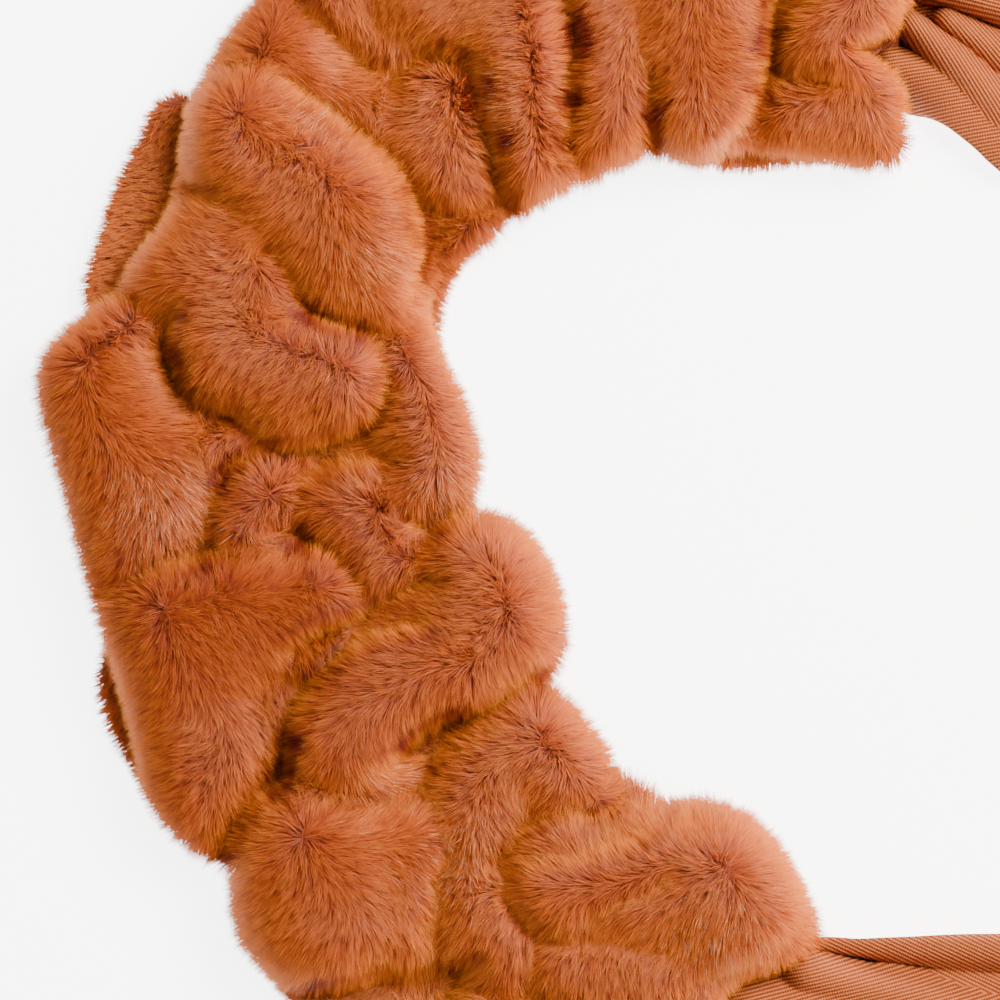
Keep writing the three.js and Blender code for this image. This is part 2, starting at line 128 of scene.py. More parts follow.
# Crest height of each fold, then two to four places along it: x, y and half width.
FOLDS = {
    "upper left shoulder": (33, [[104, 348, 26], [90, 316, 26], [88, 300, 20]]),
    "shoulder tongue": (29, [[101, 302, 17], [114, 290, 16]]),
    "upper sash": (34, [[114, 356, 20], [130, 330, 19], [150, 317, 13]]),
    "sash tail": (36, [[158, 356, 22], [165, 318, 18], [170, 290, 15], [174, 262, 13]]),
    "sunk fold": (27, [[134, 296, 14], [142, 284, 17], [146, 264, 14]]),
    "inner corner": (25, [[152, 250, 10], [148, 238, 9]]),
    "big upper fold": (42, [[78, 276, 19], [92, 267, 20], [108, 248, 24]]),
    "big fold bridge": (38, [[80, 254, 17], [90, 240, 18]]),
    "big fold tip": (35, [[106, 240, 21], [118, 226, 14]]),
    "left middle fold": (36, [[60, 244, 22], [66, 232, 25], [76, 222, 20]]),
    "lower middle fold": (39, [[76, 208, 19], [95, 200, 19], [108, 198, 15]]),
    "left cheek": (32, [[33, 199, 24], [36, 178, 22], [46, 155, 22], [40, 130, 16]]),
    "cheek flank": (28, [[62, 176, 16], [56, 152, 14]]),
    "inner cheek": (32, [[134, 204, 15], [139, 186, 18], [142, 172, 14]]),
    "inner cheek foot": (30, [[136, 162, 14], [146, 158, 10]]),
    "inner cheek root": (25, [[118, 176, 12], [124, 164, 10]]),
    "tucked fold": (27, [[80, 171, 10], [98, 171, 9]]),
    "nest left": (31, [[84, 160, 16], [80, 146, 14]]),
    "nest right": (32, [[112, 153, 15], [122, 143, 15]]),
    "lower left crest": (36, [[58, 117, 24], [82, 124, 19], [104, 130, 13]]),
    "lower left body": (33, [[58, 100, 22], [66, 80, 20], [68, 64, 17]]),
    "lower left flank": (28, [[86, 96, 13], [84, 78, 11]]),
    "roll lip": (32, [[98, 112, 10], [118, 121, 9], [138, 128, 10]]),
    "long roll": (40, [[109, 86, 16], [123, 101, 18], [142, 114, 20], [157, 130, 24]]),
    "long roll foot": (35, [[112, 86, 18], [119, 78, 15]]),
    "inner lower fold": (33, [[162, 90, 16], [176, 80, 19], [184, 68, 15]]),
    "middle lower fold": (34, [[154, 74, 15], [152, 58, 17]]),
    "inner tuft": (29, [[203, 60, 13], [214, 56, 9]]),
    "bottom left fold": (39, [[102, 46, 27], [106, 28, 24]]),
    "bottom left side": (35, [[128, 48, 17], [126, 28, 18]]),
    "bottom middle fold": (34, [[150, 36, 17], [160, 20, 17]]),
    "last big fold": (42, [[180, 40, 16], [212, 38, 22], [238, 36, 26]]),
    "last fold foot": (36, [[184, 12, 18], [212, 6, 20], [238, 14, 18]]),
    "drop left": (35, [[188, 380, 17], [197, 340, 17], [197, 300, 14], [197, 274, 13]]),
    "drop head": (37, [[204, 340, 15], [212, 326, 15]]),
    "drop right": (39, [[222, 382, 21], [224, 335, 23], [226, 302, 19], [225, 284, 16]]),
    "end crest": (38, [[284, 376, 22], [276, 335, 21], [273, 314, 18], [260, 310, 13]]),
    "end inlet": (28, [[254, 376, 16], [250, 335, 12]]),
    "end flap": (30, [[256, 282, 17], [274, 283, 18]]),
    "under edge left": (26, [[96, -4, 12], [124, -16, 17], [145, -26, 17]]),
    "under edge middle": (32, [[160, -8, 14], [160, -32, 17]]),
    "under edge right": (34, [[186, -14, 16], [188, -38, 18]]),
    "under edge end": (29, [[214, -14, 14], [206, -36, 14]]),
}

# Deep hollows between the folds: x, y, reach, depth.
HOLLOWS = [
    [138, 85, 8, 14], [131, 81, 6, 9], [147, 90, 5, 7], [95, 146, 8, 8], [90, 71, 6, 11],
    [95, 84, 4, 5], [137, 247, 9, 9], [143, 252, 5, 5], [118, 5, 10, 10], [140, 6, 9, 9],
    [104, 3, 7, 7], [150, 13, 4, 4], [184, 306, 5, 12], [182, 288, 4, 9], [247, 306, 5, 13],
    [250, 316, 6, 13], [242, 290, 4, 7], [51, 205, 8, 8], [98, 218, 5, 6], [114, 186, 5, 6],
    [160, 276, 4, 7], [156, 290, 4, 6], [139, 153, 5, 5], [184, 64, 6, 4], [78, 56, 6, 5],
    [210, 280, 3, 7], [104, 172, 4, 5],
]

# Creases where one fold lies over the next: depth, then places along it with x, y and half width.
# The upper fold lies on the right of the path, and the lower one eases up on the left.
CREASES = {
    "sash over shoulder": (8, [[127, 295, 3], [119, 299, 3], [111, 306, 3], [104, 313, 2],
        [97, 319, 2]]),
    "sash over sunk fold": (8, [[164, 255, 3], [161, 270, 3], [158, 283, 3], [153, 300, 2.5],
        [141, 305, 2], [130, 301, 2]]),
    "big fold's rim": (7, [[88, 290, 2], [98, 284, 2], [110, 276, 2.5], [119, 267, 3], [128, 257, 3],
        [132, 249, 3], [131, 238, 3], [128, 229, 2]]),
    "sunk fold's foot": (5, [[153, 257, 2], [143, 254, 2.5], [133, 259, 2]]),
    "under the big fold": (4, [[78, 254, 2], [68, 258, 2], [58, 260, 2]]),
    "under the big tip": (7, [[86, 237, 2.5], [93, 229, 3], [95, 221, 2.5], [104, 215, 2.5],
        [116, 211, 2]]),
    "middle fold's lip": (7, [[76, 191, 2], [66, 193, 3], [60, 197, 3], [57, 204, 3], [56, 212, 3],
        [59, 220, 2]]),
    "cheek's top": (4, [[24, 221, 2], [38, 222, 2], [48, 221, 2], [56, 217, 2]]),
    "middle fold's foot": (8, [[123, 198, 2], [119, 190, 2.5], [113, 184, 3], [105, 180, 2.5],
        [96, 178, 2.5], [84, 177, 2], [74, 173, 2], [69, 166, 2]]),
    "nest's top": (5, [[94, 162, 2], [103, 167, 2.5], [112, 170, 2.5], [122, 170, 2],
        [131, 173, 2]]),
    "nest's left": (5, [[66, 138, 2], [67, 150, 3], [69, 160, 2.5], [71, 169, 2]]),
    "nest's middle": (6, [[87, 149, 2], [96, 144, 3], [105, 141, 2.5], [110, 135, 2]]),
    "lower crest's top": (6, [[38, 130, 2], [50, 135, 3], [60, 138, 2.5], [70, 141, 2]]),
    "inner cheek's foot": (5, [[129, 151, 2], [134, 147, 2], [140, 151, 2.5], [146, 156, 2]]),
    "nest over the lip": (7, [[141, 135, 2], [132, 131, 2], [126, 128, 2], [116, 125, 2],
        [107, 123, 2], [99, 120, 2], [91, 115, 2]]),
    "long roll's back": (7, [[95, 83, 2], [98, 92, 2], [101, 97, 2], [106, 103, 2], [111, 108, 2],
        [118, 113, 2], [128, 116, 2], [138, 118, 1.5]]),
    "bottom fold's rim": (9, [[72, 45, 2], [75, 53, 3], [80, 61, 3], [86, 67, 3], [91, 72, 3.5],
        [94, 80, 2.5]]),
    "long roll's foot": (9, [[174, 103, 2.5], [166, 101, 3], [160, 97, 3], [154, 93, 3],
        [148, 90, 3.5], [143, 86, 4], [137, 82, 3.5], [131, 80, 3], [124, 78, 2]]),
    "under the foot": (5, [[139, 78, 2], [136, 71, 2.5], [133, 66, 2], [125, 65, 2], [114, 63, 2],
        [102, 63, 1.5]]),
    "bottom side": (4, [[141, 48, 2], [137, 41, 2.5], [137, 33, 2.5], [134, 26, 2]]),
    "last fold's top": (5, [[157, 40, 2], [172, 43, 3], [188, 45, 3], [203, 49, 2.5], [210, 55, 2.5],
        [215, 63, 2]]),
    "inner tuft": (5, [[198, 73, 2], [197, 66, 2.5], [194, 60, 2.5], [186, 57, 2]]),
    "last fold's groove": (3, [[214, 41, 2], [207, 37, 2.5], [199, 34, 2], [189, 31, 2]]),
    "last fold's foot": (5, [[238, 16, 2], [229, 13, 2.5], [221, 9, 2.5], [213, 2, 2]]),
    "end's dimple": (4, [[252, 27, 2], [247, 22, 2.5], [243, 15, 2]]),
    "left drop's rim": (10, [[181, 272, 2], [182, 284, 2.5], [184, 298, 3], [186, 306, 3],
        [184, 316, 3], [179, 328, 2.5], [177, 345, 2]]),
    "right drop's rim": (10, [[250, 350, 2.5], [248, 322, 3], [245, 308, 3], [241, 295, 3],
        [237, 284, 2.5], [229, 275, 2]]),
    "between the drops": (6, [[210, 270, 2], [209, 278, 2], [211, 286, 2], [212, 295, 1.5]]),
    "end flap's top": (4, [[262, 297, 2], [254, 298, 2.5], [246, 296, 2]]),
    "bottom folds' foot": (7, [[151, 13, 2.5], [142, 8, 3.5], [132, 6, 3.5], [121, 5, 4],
        [109, 5, 3.5], [99, 3, 3], [91, 0, 2]]),
}

# Waves that shift the layout a little, so that no fold's edge runs dead straight: size of the
# shift, radians per millimetre along x and along y, phase.
WAVES_IN_X = [[1.7, 0.13, 0.08, 1.3], [0.8, -0.12, 0.27, 0.4]]
WAVES_IN_Y = [[1.7, -0.09, 0.12, 2.1], [0.8, 0.25, 0.1, 4]]

# Waves of the fur's cut end over the tie: place across the band, reach, push outwards.
END_WAVES = {
    "upper": [[0.16, 0.07, 1], [0.32, 0.075, -18], [0.03, 0.05, 5], [0.5, 0.1, -3]],
    "lower": [[0.1, 0.08, 3], [0.3, 0.1, -2]],
}


def rows_at(table, place):
    """Rows of a table at fractional places: a cubic through the two rows on either side, whose
    slope at a row is 0.4 of the step between its two neighbours."""
    last = len(table) - 1
    start = np.clip(np.floor(place).astype(int), 0, last - 1)
    t = np.clip(place - start, 0, 1)[:, None]
    before, after = table[np.maximum(start - 1, 0)], table[np.minimum(start + 2, last)]
    one, two = table[start], table[start + 1]
    slope_one, slope_two = 0.4 * (two - before), 0.4 * (after - one)
    return ((2 * t**3 - 3 * t**2 + 1) * one + (t**3 - 2 * t**2 + t) * slope_one
            + (3 * t**2 - 2 * t**3) * two + (t**3 - t**2) * slope_two)


def waves(x, y, table):
    """Sum of a table's waves: size * sin(i x + j y + phase)."""
    return sum(size * np.sin(i * x + j * y + phase) for size, i, j, phase in table)


def band_points(place, v, column, inset=0):
    """Points of the layout in sections of the band, and the section's width. A point is the
    mix of the section's two edges at the place v between the set-backs, which start at the
    table's column, moved along the band by the bow times 4 v (1 - v)."""
    row = rows_at(SECTIONS, place)
    inner, outer = row[:, None, 0:2], row[:, None, 2:4]
    full = np.hypot(*(row[:, 2:4] - row[:, 0:2]).T)[:, None]
    first = (row[:, column, None] + inset) / full
    last = 1 - (row[:, column + 1, None] + inset) / full
    line = first + (last - first) * v
    across = (outer - inner)[:, 0] / full
    along = np.stack([across[:, 1], -across[:, 0]], 1)
    bow = row[:, BOW, None] * 4 * line * (1 - line)
    points = inner + (outer - inner) * line[..., None] + along[:, None] * bow[..., None]
    return points, full * (last - first), along


def crowded(steps):
    """Places from 0 to 1, closer together near both: 0.65 of a cosine wave and 0.35 even."""
    even = np.linspace(0, 1, steps + 1)
    return even + (0.5 - 0.5 * np.cos(np.pi * even) - even) * EDGE_CROWDING


def dome(share):
    """Height of a rounded ridge, 1 at its crest and 0 at its edge: (1 - share^2.4)^(1/2.4)."""
    return np.clip(1 - share**ROUNDNESS, 0, 1) ** (1 / ROUNDNESS)


def edge_rise(distance, reach):
    """Rise of a rolled edge: the dome of what is left of the reach."""
    return dome(1 - np.clip(distance / reach, 0, 1))


def share_from_path(x, y, path, widen=1, narrow=0):
    """Distance of each point from a path, as a share of the half width there, and the fourth
    value of the path's places mixed at the nearest point."""
    share, height = np.full(x.shape, np.inf), np.zeros(x.shape)
    for (ax, ay, aw, *ah), (bx, by, bw, *bh) in zip(path[:-1], path[1:]):
        dx, dy = bx - ax, by - ay
        t = np.clip(((x - ax) * dx + (y - ay) * dy) / (dx * dx + dy * dy), 0, 1)
        half = widen * (aw + (bw - aw) * t) - narrow
        here = np.hypot(x - ax - dx * t, y - ay - dy * t) / half
        if ah:
            height = np.where(here < share, ah[0] + (bh[0] - ah[0]) * t, height)
        share = np.minimum(share, here)
    return share, height


def crease_dip(x, y, path):
    """Depth of a crease, from 1 on its path to 0: exp(-(across / half width)^2 - (past the end /
    twice the half width)^2), with a half width 3.2 times as large on the left of the path."""
    dip = np.zeros(x.shape)
    for (ax, ay, aw), (bx, by, bw) in zip(path[:-1], path[1:]):
        length = math.hypot(bx - ax, by - ay)
        dx, dy = (bx - ax) / length, (by - ay) / length
        along = (x - ax) * dx + (y - ay) * dy
        across = dx * (y - ay) - dy * (x - ax)
        near = np.clip(along, 0, length)
        half = aw + (bw - aw) * near / length
        share = across / (half * np.where(across > 0, EASE_WIDTH, 1))
        dip = np.maximum(dip, np.exp(-share**2 - ((along - near) / (2 * half)) ** 2))
    return dip


def fold_height(x, y, inset=0):
    """Height of the folded panel: the soft highest, blend * log(sum of exp(height / blend)), of
    all folds' domes, less a round dip for each hollow and a trough for each crease. The inset is
    how far the backing lies under the tips of the pile. Half of it also comes off each fold's
    half width."""
    unmoved = (x, y)
    x, y = x + waves(x, y, WAVES_IN_X), y + waves(x, y, WAVES_IN_Y)
    total = np.exp((VALLEY_HEIGHT - inset) / FOLD_BLEND)
    for top, path in FOLDS.values():
        share, _ = share_from_path(x, y, path, FOLD_SPREAD, 0.5 * inset)
        total = total + np.exp((BACK_TOP + (top - inset - BACK_TOP) * dome(share)) / FOLD_BLEND)
    height = FOLD_BLEND * np.log(total)
    for hx, hy, reach, depth in HOLLOWS:
        height = height - depth * np.exp(-((x - hx) ** 2 + (y - hy) ** 2) / reach**2)
    for depth, path in CREASES.values():
        height = height - depth * crease_dip(*unmoved, path)
    return np.maximum(height, LOWEST_FOLD)


def run_along(points):
    """Distance of each ring from the first one, along the middle of the grid."""
    middle = points[:, points.shape[1] // 2, :2]
    return np.concatenate([[0], np.cumsum(np.hypot(*np.diff(middle, axis=0).T))])


def front_backing():
    """Grid of the folded backing. Its heights are those of the folds, lowered by the pile, and
    they roll down to the rim of the panel at its edges and ends. The ends follow END_WAVES: each
    wave pushes by exp(-(off its place / reach)^2 - (away from the end / END_WAVE_REACH)^2)."""
    place = np.linspace(END_TRIM, len(SECTIONS) - 1 - END_TRIM, FRONT_RINGS)
    v = crowded(FRONT_STEPS)[None, :]
    flat, width, along = band_points(place, v, FRONT_SETBACK, EDGE_INSET)
    run = run_along(flat)
    to_end = np.minimum(run, run[-1] - run)[:, None]
    for end, ring, sign in (("upper", 0, 1), ("lower", -1, -1)):
        away = np.abs(run - run[ring])[:, None]
        for where, reach, push in END_WAVES[end]:
            share = ((v - where) / reach) ** 2 + (away / END_WAVE_REACH) ** 2
            shift = push * np.exp(-share)
            flat = flat + sign * shift[..., None] * along[ring]
    x, y = flat[..., 0], flat[..., 1]
    rise = edge_rise(np.minimum(v, 1 - v) * width, EDGE_REACH) * edge_rise(to_end, END_REACH)
    z = FRONT_RIM + (fold_height(x, y, PILE_DEPTH) - FRONT_RIM) * rise
    return np.dstack([x, y, z])


def grid_normals(points):
    """Unit normals of a grid: the cross product of its two directions, turned outwards."""
    down, over = np.gradient(points, axis=0), np.gradient(points, axis=1)
    normal = np.cross(over, down)
    return normal / np.linalg.norm(normal, axis=2, keepdims=True)


def shell(points, thickness):
    """Closed cloth on a grid: the grid and a copy of it moved in by the thickness against the
    normals, with a strip all round between them. Gives the places and the faces."""
    normal = grid_normals(points)
    rings, steps = points.shape[:2]
    ids = np.arange(rings * steps).reshape(rings, steps)
    quads = np.stack([ids[:-1, :-1], ids[:-1, 1:], ids[1:, 1:], ids[1:, :-1]], -1).reshape(-1, 4)
    border = np.concatenate([ids[0, :-1], ids[:-1, -1], ids[-1, :0:-1], ids[:0:-1, 0]])
    after, under = np.roll(border, -1), rings * steps
    strip = np.stack([border, border + under, after + under, after], 1)
    places = np.concatenate([points.reshape(-1, 3), (points - normal * thickness).reshape(-1, 3)])
    return places, np.concatenate([quads, quads[:, ::-1] + under, strip])


def new_piece(name, places, faces, material, uv=None, normals=None):
    """Piece of the wrap from places in the layout's millimetres, faces of equal or mixed size as
    a list of arrays, a uv for each place or for each corner of each face, and shading normals if
    they aren't the faces' own."""
    groups = faces if isinstance(faces, list) else [faces]
    corners = np.concatenate([group.ravel() for group in groups]).astype(np.int32)
    sizes = np.concatenate([np.full(len(group), group.shape[1]) for group in groups])
    mesh = bpy.data.meshes.new(name)
    mesh.vertices.add(len(places))
    origin = np.array([ORIGIN_X, ORIGIN_Y, 0])
    mesh.vertices.foreach_set("co", ((places - origin) * MM).astype(np.float32).ravel())
    mesh.loops.add(len(corners))
    mesh.loops.foreach_set("vertex_index", corners)
    mesh.polygons.add(len(sizes))
    starts = np.concatenate([[0], np.cumsum(sizes)[:-1]]).astype(np.int32)
    mesh.polygons.foreach_set("loop_start", starts)
    mesh.update(calc_edges=True)
    mesh.shade_smooth()
    if uv is not None:
        layer = mesh.uv_layers.new(name=uv[0])
        at_corners = uv[1][corners] if len(uv[1]) == len(places) else uv[1]
        layer.uv.foreach_set("vector", at_corners.astype(np.float32).ravel())
    if normals is not None:
        mesh.normals_split_custom_set_from_vertices(normals.astype(np.float32))
    mesh.materials.append(material)
    piece = bpy.data.objects.new(name, mesh)
    bpy.context.scene.collection.objects.link(piece)
    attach(piece, "root")
    return piece


def paint(code):
    """Linear colour of an sRGB hex code: each channel c gives ((c + 0.055) / 1.055)^2.4."""
    channels = [int(code[i:i + 2], 16) / 255 for i in (1, 3, 5)]
    return (*[((c + 0.055) / 1.055) ** 2.4 for c in channels], 1)


def add_node(material, kind, inputs=None, **settings):
    """A node of one kind with its settings, its inputs given as values or as sockets to link."""
    node = material.node_tree.nodes.new(kind)
    for setting, value in settings.items():
        setattr(node, setting, value)
    for socket, value in (inputs or {}).items():
        if isinstance(value, bpy.types.NodeSocket):
            material.node_tree.links.new(value, node.inputs[socket])
        else:
            node.inputs[socket].default_value = value
    return node


def new_material(name, roughness, ior, **inputs):
    """A material with only its Principled shader, whose constants are set here."""
    material = bpy.data.materials.new(name)
    material.use_nodes = True
    shader = material.node_tree.nodes["Principled BSDF"]
    shader.inputs["Roughness"].default_value = roughness
    shader.inputs["IOR"].default_value = ior
    for socket, value in inputs.items():
        shader.inputs[socket.replace("_", " ")].default_value = value
    return material, shader


def link(material, socket, target):
    """Joins a node's output to an input."""
    material.node_tree.links.new(socket, target)


def noise(material, vector, size, detail):
    """Noise whose spots are of a given size in metres."""
    inputs = {"Vector": vector, "Scale": 1 / size, "Detail": detail}
    return add_node(material, "ShaderNodeTexNoise", inputs).outputs["Fac"]


def ramp(material, factor, stops):
    """Colour of a ramp that has an sRGB code at each place, the first at 0 and the last at 1."""
    node = add_node(material, "ShaderNodeValToRGB", {"Fac": factor})
    elements = node.color_ramp.elements
    (_, first), *between, (_, last) = stops
    elements[0].color = paint(first)
    elements[1].color = paint(last)
    for where, code in between:
        elements.new(where).color = paint(code)
    return node.outputs["Color"]


# Knitted polyester backing with short dense underhair. It is matt and dark, and shows only in
# the partings of the pile. The flecks are the hairs' roots, 0.8 mm apart.
backing, shader = new_material("polyester_fur_backing", 0.95, 1.5, Sheen_Weight=0.1)
coordinates = add_node(backing, "ShaderNodeTexCoord")
flecks = noise(backing, coordinates.outputs["Object"], 0.0008, 3)
shades = add_node(backing, "ShaderNodeMix", {
    "Factor": flecks, 6: paint("#5A220C"), 7: paint("#93421B")}, data_type="RGBA")
link(backing, shades.outputs[2], shader.inputs["Base Color"])
bump = add_node(backing, "ShaderNodeBump", {"Strength": 0.6, "Distance": 0.0006, "Height": flecks})
link(backing, bump.outputs["Normal"], shader.inputs["Normal"])

front_grid = front_backing()
front_normals = grid_normals(front_grid)
places, faces = shell(front_grid, BACKING)
front = new_piece("fur_front_backing", places, faces, backing)
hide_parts("fur_front")


# Back panel of the band: a plain strip of the same fur cloth that lies flat on the table.
# It is sewn to the front panel along both edges and shows past it at the left and inside.
# Its solid is pressed flat, so it is one low closed form here too.

BACK_RINGS = 150
BACK_STEPS = 40
BACK_LEVEL = 6.5
BACK_HALF = 2.5
BACK_TRIM = 0.3
BACK_EDGE_POWER = 0.7
BACK_LIFT_POWER = 0.35


def back_backing():
    """Closed ring of points for each section: a flat loop whose top and underside lie 2.5 mm
    above and below the level, and whose two edges are half circles pulled out flat. Across it
    goes as the cosine of the turn to the power 0.7, and up as its sine to the power 0.35."""
    place = np.linspace(BACK_TRIM, len(SECTIONS) - 1 - BACK_TRIM, BACK_RINGS)
    turn = np.linspace(0, 2 * np.pi, BACK_STEPS, endpoint=False)
    side, up = np.cos(turn), np.sin(turn)
    v = (0.5 - 0.5 * np.sign(side) * np.abs(side) ** BACK_EDGE_POWER)[None, :]
    flat, _, _ = band_points(place, v, BACK_SETBACK, EDGE_INSET)
    lift = np.sign(up) * np.abs(up) ** BACK_LIFT_POWER
    z = BACK_LEVEL + BACK_HALF * np.broadcast_to(lift[None, :], flat.shape[:2])
    return np.dstack([flat, z])


def tube_faces(rings, steps):
    """Faces of a closed ring grid, with a fan of quads across each end."""
    ids = np.arange(rings * steps).reshape(rings, steps)
    after = np.roll(ids, -1, axis=1)
    sides = np.stack([ids[:-1], after[:-1], after[1:], ids[1:]], -1).reshape(-1, 4)
    half = steps // 2
    low, high = np.arange(0, half), steps - 1 - np.arange(0, half)
    near = np.stack([low[:-1], high[:-1], high[1:], low[1:]], 1)
    return np.concatenate([sides, near, near[:, ::-1] + (rings - 1) * steps])


back_grid = back_backing()
back = new_piece("fur_back_backing", back_grid.reshape(-1, 3),
                 tube_faces(BACK_RINGS, BACK_STEPS), backing)
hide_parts("fur_back")


# Pile of both fur panels: crimped acrylic and modacrylic hair about 8 mm long, brushed and
# polished so that it parts into fine locks. Each strand here stands for a lock of some twenty
# hairs, rooted in the backing and leaning with the cloth, its neighbours and its own weight.

HAIR_LENGTH = 7.8
LOCK_SPACING = 1.7
LOCK_SEED = 5
PILE_SEED = 17
FRONT_PARTS = 4
FLOOR_CLEARANCE = 0.4

# Kinds of strand on the front panel, which are the fine top hair, the undercoat and the guard
# hairs, and then the one on the back: how many, length, width, whether they have a knee.
FRONT_STRANDS = (
    (480000, HAIR_LENGTH, 0.25, False),
    (210000, 0.68 * HAIR_LENGTH, 0.42, False),
    (14000, 1.1 * HAIR_LENGTH, 0.2, True),
)
BACK_STRANDS = (125000, 0.65 * HAIR_LENGTH, 0.3, False)


def eased(values, times):
    """A grid smoothed by taking each place's mean with its four neighbours a few times over."""
    for _ in range(times):
        padded = np.pad(values, ((1, 1), (1, 1), (0, 0)), mode="edge")
        around = padded[:-2, 1:-1] + padded[2:, 1:-1] + padded[1:-1, :-2] + padded[1:-1, 2:]
        values = (values + around) / 5
    return values


def cloth_facts(grid, normals, ease):
    """What a strand needs to know of its place: the cloth's normal, and the normal of the eased
    cloth, which combing follows."""
    return np.concatenate([normals, grid_normals(eased(grid, ease))], axis=2)


def crease_depth_map():
    """How deep each place of the layout lies between folds, from 0 to 1 on squares of one
    millimetre: the eased height of the folds less their height, over the depth of a crease. The
    pile is painted darker by it, as painted shade in the creases."""
    x, y = np.meshgrid(np.arange(*MAP_X), np.arange(*MAP_Y), indexing="ij")
    height = fold_height(x.astype(float), y.astype(float))[..., None]
    return np.clip((eased(height, CREASE_MAP_EASE) - height)[..., 0] / CREASE_MAP_DEPTH, 0, 1)


def scatter(grid, facts, count, closed, weight, random):
    """Roots strewn evenly by area over a grid: a cell is drawn by its area times its weight,
    and a root lies in it at two random shares. Gives the roots and the facts at them."""
    if closed:
        grid = np.concatenate([grid, grid[:, :1]], axis=1)
        facts = np.concatenate([facts, facts[:, :1]], axis=1)
    edge_one, edge_two = grid[1:, :-1] - grid[:-1, :-1], grid[:-1, 1:] - grid[:-1, :-1]
    area = np.linalg.norm(np.cross(edge_one, edge_two), axis=2) * weight
    total = np.cumsum(area.ravel())
    cell = np.searchsorted(total, random.random(count) * total[-1])
    i, j = np.unravel_index(np.minimum(cell, area.size - 1), area.shape)
    s, t = random.random((2, count, 1))

    def mixed(values):
        """Mean of a cell's four corners, weighted by the root's two shares."""
        return ((1 - s) * (1 - t) * values[i, j] + s * (1 - t) * values[i + 1, j]
                + s * t * values[i + 1, j + 1] + (1 - s) * t * values[i, j + 1])

    return mixed(grid), mixed(facts)


def unit(vectors):
    """Vectors divided by their lengths."""
    return vectors / np.maximum(np.linalg.norm(vectors, axis=1, keepdims=True), 1e-9)


def lock_of(roots):
    """The lock that each root belongs to: the nearest of the points that lie one to a square of
    the layout, each moved at random in the middle 0.7 of its square. Gives the point and three
    numbers of it."""
    size = 512
    table = np.random.default_rng(LOCK_SEED).random((size, size, 5))
    square = np.floor(roots[:, :2] / LOCK_SPACING).astype(int)
    best = np.full(len(roots), np.inf)
    point, traits = np.zeros((len(roots), 2)), np.zeros((len(roots), 3))
    for i in (-1, 0, 1):
        for j in (-1, 0, 1):
            corner = square + [i, j]
            cell = table[corner[:, 0] % size, corner[:, 1] % size]
            centre = (corner + 0.15 + 0.7 * cell[:, :2]) * LOCK_SPACING
            away = np.hypot(*(centre - roots[:, :2]).T)
            nearer = away < best
            best[nearer] = away[nearer]
            point[nearer], traits[nearer] = centre[nearer], cell[nearer, 2:]
    return point, traits


NAP_TURN = math.radians(-115)
NAP_WAVES = [[0.8, 0.045, 0.031, 0.6], [0.7, -0.038, 0.071, 2.2], [0.3, 0.19, 0.13, 0]]
COMB_EASE = 20
CREASE_MAP_EASE = 25
CREASE_MAP_DEPTH = 6
MAP_X = (-20, 330)
MAP_Y = (-90, 410)

# Shares of a strand's lay, of the direction of its two halves and of their stray. Then how far
# off its lock's middle counts at most, on how steep a slope, and how much knee and tip are drawn
# to it. Ranges of length and width, and the width at a knee. Shares of the cloth's normal and of
# the blade's own in its shading. The uv's levels at root and tip, and its sway between the edges.
SLOPE_PULL, NAP_PULL, LOCK_LEAN, LAY_EVENING = 0.9, 0.35, 0.2, 0.06
NORMAL_SHARE, COMBED_SHARE, ROOT_LAY, TIP_LAY = 0.4, 0.45, 0.8, 0.5
ROOT_STRAY, TIP_STRAY, SIDE_STRAY = 0.1, 0.06, 0.3
LOCK_REACH, LOCK_STEEP, KNEE_DRAW, TIP_DRAW = 1.6, 0.35, 0.1, 0.14
LENGTH_RANGE, WIDTH_RANGE, KNEE_WIDTH = (0.8, 1.1), (0.8, 1.25), 0.8
SHADE_NORMAL, SHADE_FACE = 0.75, 0.4
ROOT_LEVEL, TIP_LEVEL, SWAY = 0.02, 0.98, 0.004

# What the tone of a strand is made up of: its lock's and its stray tone, and painted light and
# shade. It stays between the two limits, but for a glint.
TONE, LOCK_TONE, STRAY_TONE, GUARD_HIGHLIGHT, BACK_PANEL_LIGHT = 0.6, 0.22, 0.08, 0.2, 0.3
FLANK_SHEEN, UPRIGHT_LIGHT, CREASE_SHADE_TONE, DEEP_CREASE_SHADE_TONE = 0.42, 0.12, 0.3, 0.35
TONE_LIMITS = (0.02, 0.93)

# A wide patch of painted shade, where the pile is darker: x, y, the two reaches, how much darker.
SHADE_PATCH = (75, 125, 80, 65, 0.14)

# Places where brushed pile catches the light, painted as pale highlights on some strands:
# x, y and reach. About one strand in six does.
GLINTS = ((53, 158, 14), (147, 48, 11), (143, 166, 8), (224, 272, 11), (120, 68, 9),
          (157, 285, 9), (230, 19, 12), (99, 283, 9), (118, 236, 7))
GLINT_SHARE, GLINT_TONE = 0.16, 0.98


def nap(x, y):
    """Which way the brushed pile lies: slow waves of the layout turn it from place to place."""
    turn = NAP_TURN + waves(x, y, NAP_WAVES)
    return np.stack([np.cos(turn), np.sin(turn), np.zeros_like(turn)], 1)


def crease_depth_at(x, y):
    """The crease depth map's value at each place, which sets the painted crease shade."""
    column = np.clip((x - MAP_X[0]).round().astype(int), 0, crease_depths.shape[0] - 1)
    row = np.clip((y - MAP_Y[0]).round().astype(int), 0, crease_depths.shape[1] - 1)
    return crease_depths[column, row]


